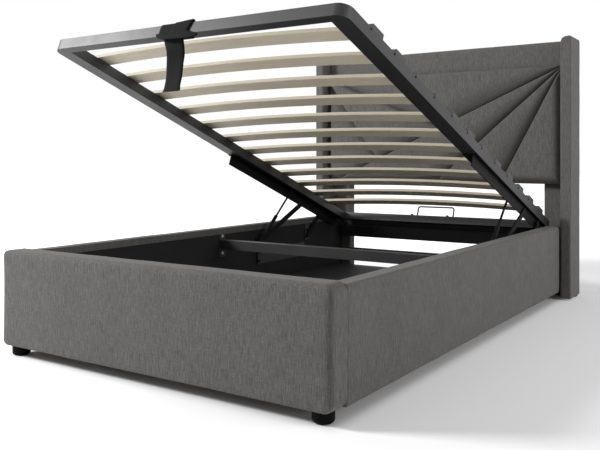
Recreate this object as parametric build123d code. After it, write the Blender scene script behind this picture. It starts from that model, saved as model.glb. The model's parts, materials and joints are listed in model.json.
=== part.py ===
from build123d import *
import math
import os

# An upholstered single bed with a storage box under a lifting slatted frame
# Millimetres, X across the bed, Y from foot to head, Z up
# The origin is the middle of the footprint on the floor, and the frame is modelled fully open

# Size of the mattress that the box holds
mattress_width = 1200
mattress_length = 2000

# Padded surround
surround_bottom = 35
rail_thickness = 55
rail_top = 347
rail_end_radius = 28
footboard_thickness = 77
footboard_top = 355
footboard_upper_radius = 26
footboard_lower_radius = 22
board_thickness = 18
wrap_thickness = 12
lip_thickness = 2
lip_height = 15
rail_edge_radius = 9
footboard_edge_radius = 12

# Headboard
headboard_thickness = 55
headboard_top = 1230
border_thickness = 45
border_height = 116
leg_width = 107
glide_height = 8
glide_margin = 10
wing_thickness = 50
wing_depth = 174
wing_rise = 11
wing_edge_radius = 8
wing_top_radius = 34
wing_rail_gap = 2
headboard_edge_radius = 20

# Headboard cushion with two fans of sewn channels
cushion_bottom = 541
cushion_side_gap = 1
cushion_top_gap = 1
cushion_back_thickness = 44
cushion_crown = 75
cushion_corner_radius = 24
cushion_side_draw = 5
cushion_edge_radius = 18
channel_half_width = 7
pillow_inset_shares = (0, 0.1, 0.4, 1)
pillow_rise_shares = (0, 0.5, 0.82, 1)
pillow_inset = 34
long_seam_end_share = -0.93
middle_seam_end_share = 0
short_seam_end_share = 0.53
steep_join_share = -0.53
shallow_join_share = 0.03

# Floor of the storage box
floor_top = 70
floor_thickness = 8
floor_side_gap = 1.5
floor_head_gap = 35
floor_split_gap = 1
bearer_width = 22
bearer_height = 24
middle_bearer_width = 60
head_rail_thickness = 33
upper_head_rail = (228, 288)
lower_head_rail = (103, 162)
head_strip_thickness = 6
head_strip_top = 318
corner_bracket_size = 45
corner_bracket_height = 120
corner_bracket_thickness = 3
corner_bracket_bottom = 90

# Front feet
foot_radius = 30
foot_inset_side = 52
foot_inset_front = 44
foot_edge_radius = 12

# Beam across the box
beam_offset = 15
beam_width = 42
beam_height = 41
tube_wall = 2
beam_plate_width = 44
beam_plate_bottom = 217
beam_plate_height = 102
beam_bolt_heights = (18, 95)
beam_bolt_head_height = 1.5

# Lifting frame, in its own plane, from its foot edge and its underside
frame_side_gap = 5
frame_foot_gap = 9
frame_extra_length = 90
frame_tube_height = 38
foot_tube_width = 33
side_tube_width = 60
frame_corner_radius = 38
closed_underside = 296
rest_gap = 0.3
tilt = 20.4
head_rise = 23.5
head_shift = 52

# Bent wood slats and their plastic holders
slat_count = 12
end_slat_margin = 186
slat_width = 62
slat_thickness = 12
slat_crown = 19
slat_end_inset = 7
slat_seat = 2
holder_length = 26
holder_side_wall = 2
holder_roof = 2
holder_clearance = 0.4
holder_peg_radius = 4
holder_peg_length = 12
slat_end_rise = 1

# Lifting linkage, from the outside in
plate_thickness = 3
station_gap = 0.5
arm_thickness = 7
rear_station_gap = 2
web_thickness = 4
flange_thickness = 3
web_height = 48
web_beam_gap = 6
web_head_gap = 50
pin_radius = 6
pin_clearance = 0.05
fit_clearance = 0.02
pin_head_radius = 9
pin_head_height = 3
boss_radius = 11
front_arm_length = 406
front_arm_width = 24
front_joint_from_head = (389, -22)
rear_arm_length = 162
rear_arm_width = 22
rear_joint_from_head = (204, -22)
open_joint_gap = 0.3
hinge_plate_width = 35
hinge_plate_bottom = 153
hinge_plate_height = 135
hinge_tab_width = 28
hinge_strip_height = 70
hinge_strip_gap = 8
hinge_lip_depth = 9
rear_plate_width = 36
rear_plate_bottom = 236
rear_plate_height = 80
bolt_head_radius = 7
bolt_head_height = 4
bolt_radius = 4
bolt_length = 15
bolt_hole_clearance = 0.2
hinge_bolt_heights = (15, 55)
rear_bolt_height = 50

# Gas struts
strut_foot_from_pivot = (-66, -29)
strut_joint_from_head = (551, -17)
strut_inset = 40
strut_radius = 9
strut_length = 214
strut_bore_depth = 170
strut_rod_radius = 5
strut_rod_gap = 0.3
strut_rod_overlap = 62
strut_eye_radius = 9
strut_eye_width = 14
strut_pin_radius = 5
strut_neck_length = 14

# Mattress stop and pull strap
stop_width = 200
stop_height = 52
stop_bend_radius = 12
stop_wire_radius = 4
clip_width = 10
clip_depth = 14
clip_height = 9
clip_offset = 31
strap_width = 66
strap_thickness = 2.5
strap_drop = 165
strap_offset = -20
strap_sleeve_width = 100
strap_gap = 0.3
strap_edge_radius = 1

# Overrun of every cut
overrun = 1

half_inner = mattress_width / 2
half_outer = half_inner + rail_thickness
half_total = half_outer + wing_thickness
frame_length = mattress_length + frame_extra_length
bed_length = footboard_thickness + frame_foot_gap * 2 + frame_length + headboard_thickness
half_frame = half_inner - frame_side_gap
wing_top = headboard_top + wing_rise
beam_place = bed_length / 2 - beam_offset
slat_pitch = (frame_length - 2 * end_slat_margin) / (slat_count - 1)
web_foot = beam_place + beam_width / 2 + web_beam_gap - footboard_thickness - frame_foot_gap


def along(distance):
    """Y of a place that lies this far behind the footboard's front."""
    return distance - bed_length / 2


footboard_back = footboard_thickness
headboard_front = bed_length - headboard_thickness
wing_front = bed_length - wing_depth
board_top = rail_top - wrap_thickness
bearer_top = floor_top - floor_thickness


def from_head(spot, length):
    """A spot measured back from the head end, as one measured from the foot end."""
    return (length - spot[0], spot[1])


# Joints in the frame's own plane
front_joint = from_head(front_joint_from_head, frame_length)
rear_joint = from_head(rear_joint_from_head, frame_length)
strut_joint = from_head(strut_joint_from_head, frame_length)

# The frame's place when shut and when open, as (distance from the front, height)
tilt_sine = math.sin(math.radians(tilt))
tilt_cosine = math.cos(math.radians(tilt))
foot_rise = head_rise + frame_length * tilt_sine
foot_shift = frame_length * (1 - tilt_cosine) - head_shift
shut_foot = (footboard_thickness + frame_foot_gap, closed_underside)
open_foot = (shut_foot[0] + foot_shift, closed_underside + foot_rise)
open_place = Location((0, along(open_foot[0]), open_foot[1]), (-tilt, 0, 0))


def shut_point(spot):
    return (shut_foot[0] + spot[0], shut_foot[1] + spot[1])


def open_point(spot):
    forward = open_foot[0] + spot[0] * tilt_cosine + spot[1] * tilt_sine
    height = open_foot[1] - spot[0] * tilt_sine + spot[1] * tilt_cosine
    return (forward, height)


def ground_pivot(spot, length):
    """Pivot on the rail from which an arm of this length reaches both places of a frame joint."""
    shut, opened = shut_point(spot), open_point(spot)
    step = math.dist(shut, opened)
    reach = math.sqrt(length**2 - (step / 2) ** 2)
    middle = ((shut[0] + opened[0]) / 2, (shut[1] + opened[1]) / 2)
    toward_foot = -(opened[1] - shut[1]) / step
    downward = (opened[0] - shut[0]) / step
    return (middle[0] + reach * toward_foot, middle[1] + reach * downward)


def slope(start, end):
    """Angle of a line from start to end, in degrees above the way to the head."""
    return math.degrees(math.atan2(end[1] - start[1], end[0] - start[0]))


front_pivot = ground_pivot(front_joint, front_arm_length)
rear_pivot = ground_pivot(rear_joint, rear_arm_length)
strut_foot = (front_pivot[0] + strut_foot_from_pivot[0], front_pivot[1] + strut_foot_from_pivot[1])
strut_open_length = math.dist(strut_foot, open_point(strut_joint))
strut_rod_length = strut_open_length - strut_length + strut_rod_overlap

# Stations across the right side of the linkage, from the rail inward
plate_face = half_inner - plate_thickness
rear_arm_outer = plate_face - rear_station_gap
rear_arm_inner = rear_arm_outer - arm_thickness
front_arm_outer = rear_arm_inner - station_gap
front_arm_inner = front_arm_outer - arm_thickness
web_outer = front_arm_inner - station_gap
web_inner = web_outer - web_thickness
strut_middle = half_inner - strut_inset


def block(x_span, y_span, z_span):
    size = [abs(span[1] - span[0]) for span in (x_span, y_span, z_span)]
    centre = [(span[0] + span[1]) / 2 for span in (x_span, y_span, z_span)]
    return Pos(*centre) * Box(*size)


def rod_across(radius, x_span, spot):
    """Round bar along X through a spot given as distance from the front and height."""
    length = abs(x_span[1] - x_span[0])
    middle = (x_span[0] + x_span[1]) / 2
    return Pos(middle, along(spot[0]), spot[1]) * Rot(0, 90, 0) * Cylinder(radius, length)


def link(start, end, width, x_span):
    """Flat bar with round ends between two spots of the side view."""
    length = math.dist(start, end)
    middle = ((start[0] + end[0]) / 2, (start[1] + end[1]) / 2)
    thickness = abs(x_span[1] - x_span[0])
    centre = Pos((x_span[0] + x_span[1]) / 2, along(middle[0]), middle[1])
    bar = centre * Rot(slope(start, end), 0, 0) * Box(thickness, length, width)
    return bar + rod_across(width / 2, x_span, start) + rod_across(width / 2, x_span, end)


def mirrored(shape):
    return mirror(shape, Plane.YZ)


def save(name, shape):
    export_step(shape, f"parts/{name}.step")


def save_pair(name, shape):
    save(f"{name}_right", shape)
    save(f"{name}_left", mirrored(shape))


def group(shapes):
    solids = [solid for shape in shapes for solid in shape.solids()]
    return Compound(children=solids)


def side_outline(y_span, z_span, foot_end_radius, head_end_radius):
    """Side view of a rail with its own corner radius at each end, as a face in the YZ plane."""
    width, height = y_span[1] - y_span[0], z_span[1] - z_span[0]
    middle = ((y_span[0] + y_span[1]) / 2, (z_span[0] + z_span[1]) / 2)
    outline = Pos(*middle) * Rectangle(width, height)
    corners = outline.vertices().sort_by(Axis.X)
    outline = fillet(corners[:2], foot_end_radius)
    return Plane.YZ * fillet(outline.vertices().group_by(Axis.X)[-1], head_end_radius)


def bolt_hole(spot):
    depth = (half_inner - plate_thickness - overrun, half_inner + bolt_length)
    return rod_across(bolt_radius + bolt_hole_clearance, depth, spot)


def bolt(spot, head_height):
    head_span = (plate_face - head_height, plate_face)
    shank_span = (plate_face, plate_face + bolt_length)
    head = rod_across(bolt_head_radius, head_span, spot)
    return head + rod_across(bolt_radius, shank_span, spot)


beam_bolt_spots = [(beam_place, beam_plate_bottom + rise) for rise in beam_bolt_heights]
hinge_bolt_spots = [(front_pivot[0], hinge_plate_bottom + rise) for rise in hinge_bolt_heights]
rear_bolt_spots = [(rear_pivot[0], rear_plate_bottom + rear_bolt_height)]
bolt_spots = beam_bolt_spots + hinge_bolt_spots + rear_bolt_spots


def footboard_outline(inset):
    """Front view of the footboard as a face in the XZ plane, drawn in by the inset."""
    width = 2 * (half_outer - inset)
    height = footboard_top - surround_bottom - 2 * inset
    middle = (footboard_top + surround_bottom) / 2
    outline = Pos(0, middle) * Rectangle(width, height)
    upper = outline.vertices().group_by(Axis.Y)[-1]
    outline = fillet(upper, footboard_upper_radius - inset)
    lower = outline.vertices().group_by(Axis.Y)[0]
    outline = fillet(lower, footboard_lower_radius - inset)
    return Plane.XZ * outline


def make_footboard():
    pad = Pos(0, along(0), 0) * extrude(footboard_outline(0), -footboard_thickness)
    front_edges = pad.edges().group_by(Axis.Y)[0]
    pad = fillet(front_edges, footboard_edge_radius)
    board_front = along(footboard_back - board_thickness)
    board = Pos(0, board_front, 0) * extrude(footboard_outline(wrap_thickness), -board_thickness)
    lip_span = (footboard_top - wrap_thickness - lip_height, footboard_top - wrap_thickness)
    lip_y = (along(footboard_back), along(footboard_back + lip_thickness))
    lip = block((-half_inner + lip_thickness, half_inner - lip_thickness), lip_y, lip_span)
    lip_root_y = (along(footboard_back - wrap_thickness), along(footboard_back + lip_thickness))
    root_span = (lip_span[1], lip_span[1] + wrap_thickness / 2)
    lip_root = block((-half_inner + lip_thickness, half_inner - lip_thickness), lip_root_y, root_span)
    save("footboard_board", board)
    save("footboard_cover", pad - board + lip + lip_root)


def make_rail():
    cover_y = (along(footboard_back), along(wing_front - wing_rail_gap))
    outline = side_outline(cover_y, (surround_bottom, rail_top), rail_edge_radius / 2, rail_end_radius)
    pad = Pos(half_inner, 0, 0) * extrude(outline, rail_thickness)
    outer_edges = pad.edges().group_by(Axis.X)[-1]
    pad = fillet(outer_edges, rail_edge_radius)
    board_y = (along(footboard_back), along(headboard_front))
    board_z = (surround_bottom + wrap_thickness, board_top)
    board = block((half_inner, half_inner + board_thickness), board_y, board_z)
    lip_x = (half_inner - lip_thickness, half_inner)
    lip_y = (along(footboard_back + lip_thickness), cover_y[1] - rail_end_radius)
    lip = block(lip_x, lip_y, (board_top - lip_height, board_top))
    root_x = (half_inner - lip_thickness, half_inner + wrap_thickness)
    root = block(root_x, lip_y, (board_top, board_top + wrap_thickness / 2))
    cover = pad - board + lip + root
    for spot in bolt_spots:
        board -= bolt_hole(spot)
    save_pair("rail_board", board)
    save_pair("rail_cover", cover)


def make_headboard():
    back_y = (along(headboard_front), along(bed_length))
    panel = block((-half_outer, half_outer), back_y, (cushion_bottom, headboard_top))
    back_edge = panel.edges().filter_by(Axis.X).group_by(Axis.Z)[-1].group_by(Axis.Y)[-1]
    save("headboard_panel", fillet(back_edge, headboard_edge_radius))
    leg = block((half_outer - leg_width, half_outer), back_y, (glide_height, cushion_bottom))
    save_pair("headboard_leg", leg)
    border_y = (along(headboard_front - border_thickness), along(headboard_front))
    border_z = (headboard_top - border_height, headboard_top)
    border = block((-half_outer, half_outer), border_y, border_z)
    front_edge = border.edges().filter_by(Axis.X).group_by(Axis.Z)[-1].group_by(Axis.Y)[0]
    save("headboard_border", fillet(front_edge, headboard_edge_radius))
    wing_y = (along(wing_front), along(bed_length))
    wing = block((half_outer, half_total), wing_y, (glide_height, wing_top))
    inner_top_edge = wing.edges().filter_by(Axis.Y).group_by(Axis.Z)[-1].sort_by(Axis.X)[0]
    wing = fillet(inner_top_edge, wing_top_radius)
    lengthwise = wing.edges().filter_by(Axis.Y)
    kept_edges = lengthwise - lengthwise.group_by(Axis.X)[-1] + wing.edges().group_by(Axis.Z)[0]
    save_pair("headboard_wing", fillet(wing.edges() - kept_edges, wing_edge_radius))


def inset_polygon(points, distance):
    """Corners of a convex polygon after each side moves inward by the distance."""
    count = len(points)
    centre = [sum(point[axis] for point in points) / count for axis in (0, 1)]
    lines = []
    for index in range(count):
        (x0, z0), (x1, z1) = points[index], points[(index + 1) % count]
        length = math.hypot(x1 - x0, z1 - z0)
        normal = (-(z1 - z0) / length, (x1 - x0) / length)
        offset = normal[0] * x0 + normal[1] * z0
        if normal[0] * centre[0] + normal[1] * centre[1] < offset:
            normal, offset = (-normal[0], -normal[1]), -offset
        lines.append((normal, offset + distance))
    corners = []
    for index in range(count):
        (a, p), (b, q) = lines[index - 1], lines[index]
        cross = a[0] * b[1] - a[1] * b[0]
        corners.append(((p * b[1] - q * a[1]) / cross, (q * a[0] - p * b[0]) / cross))
    return corners


def fan_panels():
    """The six panels between the seams that spread from the cushion's two upper corners."""
    half = half_outer - cushion_side_gap
    low = cushion_bottom
    high = headboard_top - border_height - cushion_top_gap
    left, right = (-half, high), (half, high)
    seam_foot = [(share * half, low) for share in
                 (long_seam_end_share, middle_seam_end_share, short_seam_end_share)]
    joins = []
    for share in (steep_join_share, shallow_join_share):
        x = share * half
        rise = (x - seam_foot[0][0]) / (half - seam_foot[0][0])
        joins.append((x, low + rise * (high - low)))
    return [
        [left, joins[1], right],
        [left, joins[0], joins[1]],
        [left, (-half, low), seam_foot[0], joins[0]],
        [right, seam_foot[0], seam_foot[1]],
        [right, seam_foot[1], seam_foot[2]],
        [right, seam_foot[2], (half, low)],
    ]


def face_at(points, y):
    corners = [Vector(x, y, z) for x, z in points]
    return Face(Wire.make_polygon(corners, close=True))


def cushion_slab():
    """Back of the cushion, whose four sides draw in between its corners."""
    half = half_outer - cushion_side_gap
    low = cushion_bottom
    high = headboard_top - border_height - cushion_top_gap
    middle = (low + high) / 2
    draw = cushion_side_draw
    sides = (
        ThreePointArc((-half, low), (0, low + draw), (half, low))
        + ThreePointArc((half, low), (half - draw, middle), (half, high))
        + ThreePointArc((half, high), (0, high - draw), (-half, high))
        + ThreePointArc((-half, high), (-half + draw, middle), (-half, low))
    )
    outline = make_face(sides)
    outline = fillet(outline.vertices(), cushion_corner_radius)
    slab = extrude(Plane.XZ * outline, cushion_back_thickness)
    slab = Pos(0, along(headboard_front), 0) * slab
    front = slab.edges().group_by(Axis.Y)[0]
    return fillet(front, cushion_edge_radius)


def make_cushion():
    start = along(headboard_front - cushion_back_thickness)
    rise = cushion_crown - cushion_back_thickness
    seat = start + channel_half_width
    cushion = cushion_slab()
    for panel in fan_panels():
        rings = [inset_polygon(panel, channel_half_width + cushion_side_draw)]
        places = [seat]
        for inset_share, rise_share in zip(pillow_inset_shares, pillow_rise_shares):
            inset = channel_half_width + cushion_side_draw + inset_share * pillow_inset
            rings.append(inset_polygon(panel, inset))
            places.append(start - rise_share * rise)
        faces = [face_at(ring, place) for ring, place in zip(rings, places)]
        for lower, upper in zip(faces, faces[1:]):
            if upper is not lower:
                cushion += Solid.make_loft([lower.outer_wire(), upper.outer_wire()], True)
    save("headboard_cushion", cushion)


def make_floor():
    head_end = headboard_front - floor_head_gap
    half = half_inner - floor_side_gap
    z = (bearer_top, floor_top)
    foot_y = (along(footboard_back + lip_thickness), along(beam_place - floor_split_gap / 2))
    head_y = (along(beam_place + floor_split_gap / 2), along(head_end))
    save("floor_panel_foot", block((-half, half), foot_y, z))
    save("floor_panel_head", block((-half, half), head_y, z))
    bearer_z = (bearer_top - bearer_height, bearer_top)
    side = block((half_inner - bearer_width, half_inner), (along(footboard_back), along(head_end)), bearer_z)
    reach = half_inner - bearer_width
    middle_y = (along(beam_place - middle_bearer_width / 2), along(beam_place + middle_bearer_width / 2))
    middle = block((-reach, reach), middle_y, bearer_z)
    foot = block((-reach, reach), (along(footboard_back), along(footboard_back + bearer_width)), bearer_z)
    save("floor_bearers", group([side, mirrored(side), middle, foot]))
    across = (-half_inner, half_inner)
    rail_front = along(headboard_front - head_rail_thickness)
    strip_front = along(headboard_front - head_strip_thickness)
    upper_rail = block(across, (rail_front, strip_front), upper_head_rail)
    lower_rail = block(across, (rail_front, along(headboard_front)), lower_head_rail)
    # A thin board behind the upper rail stands up past it
    strip = block(across, (strip_front, along(headboard_front)), (upper_head_rail[0], head_strip_top))
    save("head_rails", group([upper_rail, lower_rail, strip]))


def make_corner_bracket():
    x = (half_inner - corner_bracket_size, half_inner)
    y = (along(footboard_back), along(footboard_back + corner_bracket_size))
    z = (corner_bracket_bottom, corner_bracket_bottom + corner_bracket_height)
    bracket = block(x, y, z)
    clear_x = (x[0] - overrun, x[1] - corner_bracket_thickness)
    clear_y = (y[0] + corner_bracket_thickness, y[1] + overrun)
    bracket -= block(clear_x, clear_y, (z[0] - overrun, z[1] + overrun))
    save("corner_brackets", group([bracket, mirrored(bracket)]))


def make_feet():
    x = half_outer - foot_inset_side
    foot = Pos(x, along(foot_inset_front), surround_bottom / 2) * Cylinder(foot_radius, surround_bottom)
    foot = fillet(foot.edges().group_by(Axis.Z)[0], foot_edge_radius)
    glide_x = (half_outer - leg_width + glide_margin, half_total - glide_margin)
    glide_y = (along(headboard_front + glide_margin), along(bed_length - glide_margin))
    glide = block(glide_x, glide_y, (0, glide_height))
    save("feet", group([foot, mirrored(foot), glide, mirrored(glide)]))


def make_beam():
    y = (along(beam_place - beam_width / 2), along(beam_place + beam_width / 2))
    top = closed_underside - rest_gap
    z = (top - beam_height, top)
    half = plate_face
    beam = block((-half, half), y, z)
    bore_y = (y[0] + tube_wall, y[1] - tube_wall)
    beam -= block((-half - overrun, half + overrun), bore_y, (z[0] + tube_wall, z[1] - tube_wall))
    save("cross_beam", beam)
    plate_y = (along(beam_place - beam_plate_width / 2), along(beam_place + beam_plate_width / 2))
    plate_z = (beam_plate_bottom, beam_plate_bottom + beam_plate_height)
    plate = block((plate_face, half_inner), plate_y, plate_z)
    for spot in beam_bolt_spots:
        plate -= bolt_hole(spot)
    save("cross_beam_plates", group([plate, mirrored(plate)]))


def make_plates():
    """Plates bolted to the rail that carry the arms and the strut's foot."""
    x = (plate_face, half_inner)
    hinge_y = (along(front_pivot[0] - hinge_plate_width / 2), along(front_pivot[0] + hinge_plate_width / 2))
    plate = block(x, hinge_y, (hinge_plate_bottom, hinge_plate_bottom + hinge_plate_height))
    plate += link(strut_foot, (front_pivot[0], strut_foot[1]), hinge_tab_width, x)
    strip_end = along(rear_pivot[0] - rear_plate_width / 2 - hinge_strip_gap)
    strip_z = (hinge_plate_bottom, hinge_plate_bottom + hinge_strip_height)
    plate += block(x, (hinge_y[0], strip_end), strip_z)
    lip_x = (plate_face - hinge_lip_depth, half_inner)
    plate += block(lip_x, (hinge_y[0], hinge_y[0] + plate_thickness), strip_z)
    plate += rod_across(boss_radius, (front_arm_outer + station_gap, plate_face), front_pivot)
    for spot in hinge_bolt_spots:
        plate -= bolt_hole(spot)
    rear_y = (along(rear_pivot[0] - rear_plate_width / 2), along(rear_pivot[0] + rear_plate_width / 2))
    rear = block(x, rear_y, (rear_plate_bottom, rear_plate_bottom + rear_plate_height))
    rear += rod_across(boss_radius, (rear_arm_outer + station_gap, plate_face), rear_pivot)
    for spot in rear_bolt_spots:
        rear -= bolt_hole(spot)
    front_pin = rod_across(pin_radius, (web_outer + station_gap, half_inner), front_pivot)
    rear_pin = rod_across(pin_radius, (rear_arm_inner, half_inner), rear_pivot)
    stud_end = strut_middle - strut_eye_width / 2
    stud = rod_across(strut_pin_radius, (stud_end, half_inner), strut_foot)
    plate -= rod_across(pin_radius + fit_clearance, (web_outer, half_inner + overrun), front_pivot)
    plate -= rod_across(strut_pin_radius + fit_clearance, (web_outer, half_inner + overrun), strut_foot)
    rear -= rod_across(pin_radius + fit_clearance, (web_outer, half_inner + overrun), rear_pivot)
    save_pair("hinge_plate", plate)
    save("rear_plates", group([rear, mirrored(rear)]))
    pins = [front_pin, stud] + [bolt(spot, bolt_head_height) for spot in hinge_bolt_spots + rear_bolt_spots]
    save("hinge_pins", group(pins + [mirrored(pin) for pin in pins]))
    bolts = [rear_pin] + [bolt(spot, beam_bolt_head_height) for spot in beam_bolt_spots]
    save("plate_bolts", group(bolts + [mirrored(one) for one in bolts]))


def make_arms():
    x = (front_arm_inner, front_arm_outer)
    joint = open_point(front_joint)
    arm = link(front_pivot, joint, front_arm_width, x)
    cut = (web_inner, half_inner)
    arm -= rod_across(pin_radius + pin_clearance, cut, front_pivot)
    arm -= rod_across(pin_radius + fit_clearance, cut, joint)
    save_pair("front_arm", arm)
    head_x = (web_inner - open_joint_gap - pin_head_height, web_inner - open_joint_gap)
    pin = rod_across(pin_radius, (head_x[1], front_arm_outer), joint)
    pin += rod_across(pin_head_radius, head_x, joint)
    save("front_arm_pins", group([pin, mirrored(pin)]))
    x = (rear_arm_inner, rear_arm_outer)
    joint = open_point(rear_joint)
    arm = link(rear_pivot, joint, rear_arm_width, x)
    arm -= rod_across(pin_radius + pin_clearance, cut, rear_pivot)
    arm -= rod_across(pin_radius + fit_clearance, cut, joint)
    save_pair("rear_arm", arm)
    pin = rod_across(pin_radius, (web_outer + open_joint_gap, rear_arm_outer), joint)
    save("rear_arm_pins", group([pin, mirrored(pin)]))


def strut_axis_part(start, end, shape):
    """Put a shape made along Z at start, and lean it toward end."""
    lean = 90 - slope(start, end)
    return Pos(strut_middle, along(start[0]), start[1]) * Rot(-lean, 0, 0) * shape


def make_struts():
    joint = open_point(strut_joint)
    eye_x = (strut_middle - strut_eye_width / 2, strut_middle + strut_eye_width / 2)
    tube = Pos(0, 0, (strut_neck_length + strut_length) / 2) * Cylinder(
        strut_radius, strut_length - strut_neck_length
    )
    bore = Pos(0, 0, strut_length + overrun - (strut_bore_depth + overrun) / 2) * Cylinder(
        strut_rod_radius + strut_rod_gap, strut_bore_depth + overrun
    )
    neck = Pos(0, 0, strut_neck_length / 2 + overrun) * Cylinder(
        strut_rod_radius + overrun, strut_neck_length + 2 * overrun
    )
    cylinder = strut_axis_part(strut_foot, joint, tube + neck - bore)
    cylinder += rod_across(strut_eye_radius, eye_x, strut_foot)
    cylinder -= rod_across(strut_pin_radius + pin_clearance, (0, half_inner), strut_foot)
    save_pair("gas_cylinder", cylinder)
    rod = Pos(0, 0, strut_rod_length / 2) * Cylinder(strut_rod_radius, strut_rod_length)
    rod = strut_axis_part(joint, strut_foot, rod)
    rod += rod_across(strut_eye_radius, eye_x, joint)
    rod += rod_across(strut_pin_radius, (eye_x[1], web_inner - open_joint_gap), joint)
    save_pair("gas_rod", rod)


def make_frame():
    """Tubes of the lifting frame, made flat and then put in the open place."""
    z = (0, frame_tube_height)
    inner_z = (tube_wall, frame_tube_height - tube_wall)
    reach = half_frame - side_tube_width
    for name, start in (("foot", 0), ("head", frame_length - foot_tube_width)):
        tube = block((-reach, reach), (start, start + foot_tube_width), z)
        bore_y = (start + tube_wall, start + foot_tube_width - tube_wall)
        tube -= block((-reach - overrun, reach + overrun), bore_y, inner_z)
        save(f"frame_{name}_tube", open_place * tube)
    side = block((reach, half_frame), (0, frame_length), z)
    outer_corners = side.edges().filter_by(Axis.Z).group_by(Axis.X)[-1]
    side = fillet(outer_corners, frame_corner_radius)
    bore_x = (reach + tube_wall, half_frame - tube_wall)
    bore_y = (frame_corner_radius, frame_length - frame_corner_radius)
    side -= block(bore_x, bore_y, inner_z)
    for centre in slat_places():
        peg = Pos(holder_middle(), centre, frame_tube_height) * Cylinder(
            holder_peg_radius + fit_clearance, 2 * holder_peg_length
        )
        side -= peg
    save_pair("frame_side", open_place * side)


def slat_places():
    return [end_slat_margin + index * slat_pitch for index in range(slat_count)]


def holder_middle():
    return half_frame - holder_length / 2


def slat_shape():
    half = half_frame - slat_end_inset
    low = frame_tube_height + slat_seat
    lower = ThreePointArc((-half, low), (0, low + slat_crown), (half, low))
    high = low + slat_thickness
    upper = ThreePointArc((-half, high), (0, high + slat_crown), (half, high))
    ends = Line(lower @ 1, upper @ 1) + Line(upper @ 0, lower @ 0)
    face = make_face(lower + upper + ends)
    return extrude(Plane.XZ * face, slat_width / 2, both=True)


def make_slats():
    slat = slat_shape()
    for number, centre in enumerate(slat_places(), start=1):
        save(f"slat_{number:02d}", open_place * Pos(0, centre, 0) * slat)
    holder = holder_shape()
    holders = [open_place * Pos(0, centre, 0) * holder for centre in slat_places()]
    save("slat_holders_right", group(holders))
    save("slat_holders_left", group([mirrored(one) for one in holders]))


def holder_shape():
    """Plastic cap that is pegged into the side tube and holds a slat's end."""
    half_y = slat_width / 2 + holder_clearance + holder_side_wall
    x = (half_frame - holder_length, half_frame)
    floor_z = frame_tube_height + slat_seat - holder_clearance
    roof_z = floor_z + slat_thickness + slat_end_rise + 2 * holder_clearance
    shell = block(x, (-half_y, half_y), (frame_tube_height, roof_z + holder_roof))
    top_edges = shell.edges().group_by(Axis.Z)[-1]
    shell = fillet(top_edges, holder_roof / 2)
    pocket_y = slat_width / 2 + holder_clearance
    pocket_x = (x[0] - overrun, half_frame - slat_end_inset + holder_clearance)
    shell -= block(pocket_x, (-pocket_y, pocket_y), (floor_z, roof_z))
    peg_z = frame_tube_height - holder_peg_length / 2
    return shell + Pos(holder_middle(), 0, peg_z) * Cylinder(holder_peg_radius, holder_peg_length)


def make_upper_bracket():
    """Flat under the side tube with a web welded below it, which takes the arms."""
    lengthwise = (web_foot, frame_length - web_head_gap)
    web = block((web_inner, web_outer), lengthwise, (-web_height, -flange_thickness))
    joint = Pos((web_inner + web_outer) / 2, front_joint[0], front_joint[1])
    web -= joint * Rot(0, 90, 0) * Cylinder(pin_radius + pin_clearance, web_thickness + 2 * overrun)
    flange_x = (half_frame - side_tube_width, half_frame)
    flange = block(flange_x, lengthwise, (-flange_thickness, 0))
    save_pair("upper_bracket", group([open_place * web, open_place * flange]))


def make_mattress_stop():
    """Round wire hoop on the head tube, with a clip beside each leg."""
    centre = frame_length - foot_tube_width / 2
    base, top = frame_tube_height, frame_tube_height + stop_height
    half = stop_width / 2
    path = FilletPolyline(
        (-half, centre, base), (-half, centre, top), (half, centre, top), (half, centre, base),
        radius=stop_bend_radius,
    )
    start = Plane(origin=path @ 0, z_dir=path % 0)
    hoop = sweep(start * Circle(stop_wire_radius), path)
    save("mattress_stop", open_place * hoop)
    clips = []
    for side in (-half, half):
        middle = side - clip_offset
        x = (middle - clip_width / 2, middle + clip_width / 2)
        y = (centre - clip_depth / 2, centre + clip_depth / 2)
        clips.append(open_place * block(x, y, (base, base + clip_height)))
    save("stop_clips", group(clips))


def make_strap():
    """Webbing loop round the foot tube, whose tail hangs straight down while the frame is open."""
    grow = strap_gap + strap_thickness
    low, high = strap_offset - strap_sleeve_width / 2, strap_offset + strap_sleeve_width / 2
    sleeve_y = (-grow, foot_tube_width + grow)
    sleeve = block((low, high), sleeve_y, (-grow, frame_tube_height + grow))
    bore_y = (-strap_gap, foot_tube_width + strap_gap)
    bore_z = (-strap_gap, frame_tube_height + strap_gap)
    sleeve -= block((low - overrun, high + overrun), bore_y, bore_z)
    sleeve = open_place * sleeve
    hang = open_point((foot_tube_width / 2, -grow + strap_thickness / 2))
    tail_y = (along(hang[0]) - strap_thickness / 2, along(hang[0]) + strap_thickness / 2)
    tail_z = (hang[1] - strap_drop, hang[1])
    tail = block((strap_offset - strap_width / 2, strap_offset + strap_width / 2), tail_y, tail_z)
    lower_corners = tail.edges().filter_by(Axis.Y).group_by(Axis.Z)[0]
    tail = fillet(lower_corners, strap_edge_radius)
    save("pull_strap", sleeve + tail)


def print_joints():
    """Places and angles of the linkage, for the record of the moving parts."""
    for name, ground, spot in (
        ("front arm", front_pivot, front_joint),
        ("rear arm", rear_pivot, rear_joint),
        ("strut", strut_foot, strut_joint),
    ):
        opened, shut = open_point(spot), shut_point(spot)
        turn = slope(ground, opened) - slope(ground, shut)
        reach = (math.dist(ground, opened), math.dist(ground, shut))
        print(name, "ground", (along(ground[0]), ground[1]), "joint", (along(opened[0]), opened[1]))
        print("   turn", turn, "open and shut length", reach, "open slope", slope(ground, opened))
    print("length", bed_length, "width", 2 * half_total, "beam", beam_place, "pitch", slat_pitch)


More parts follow.
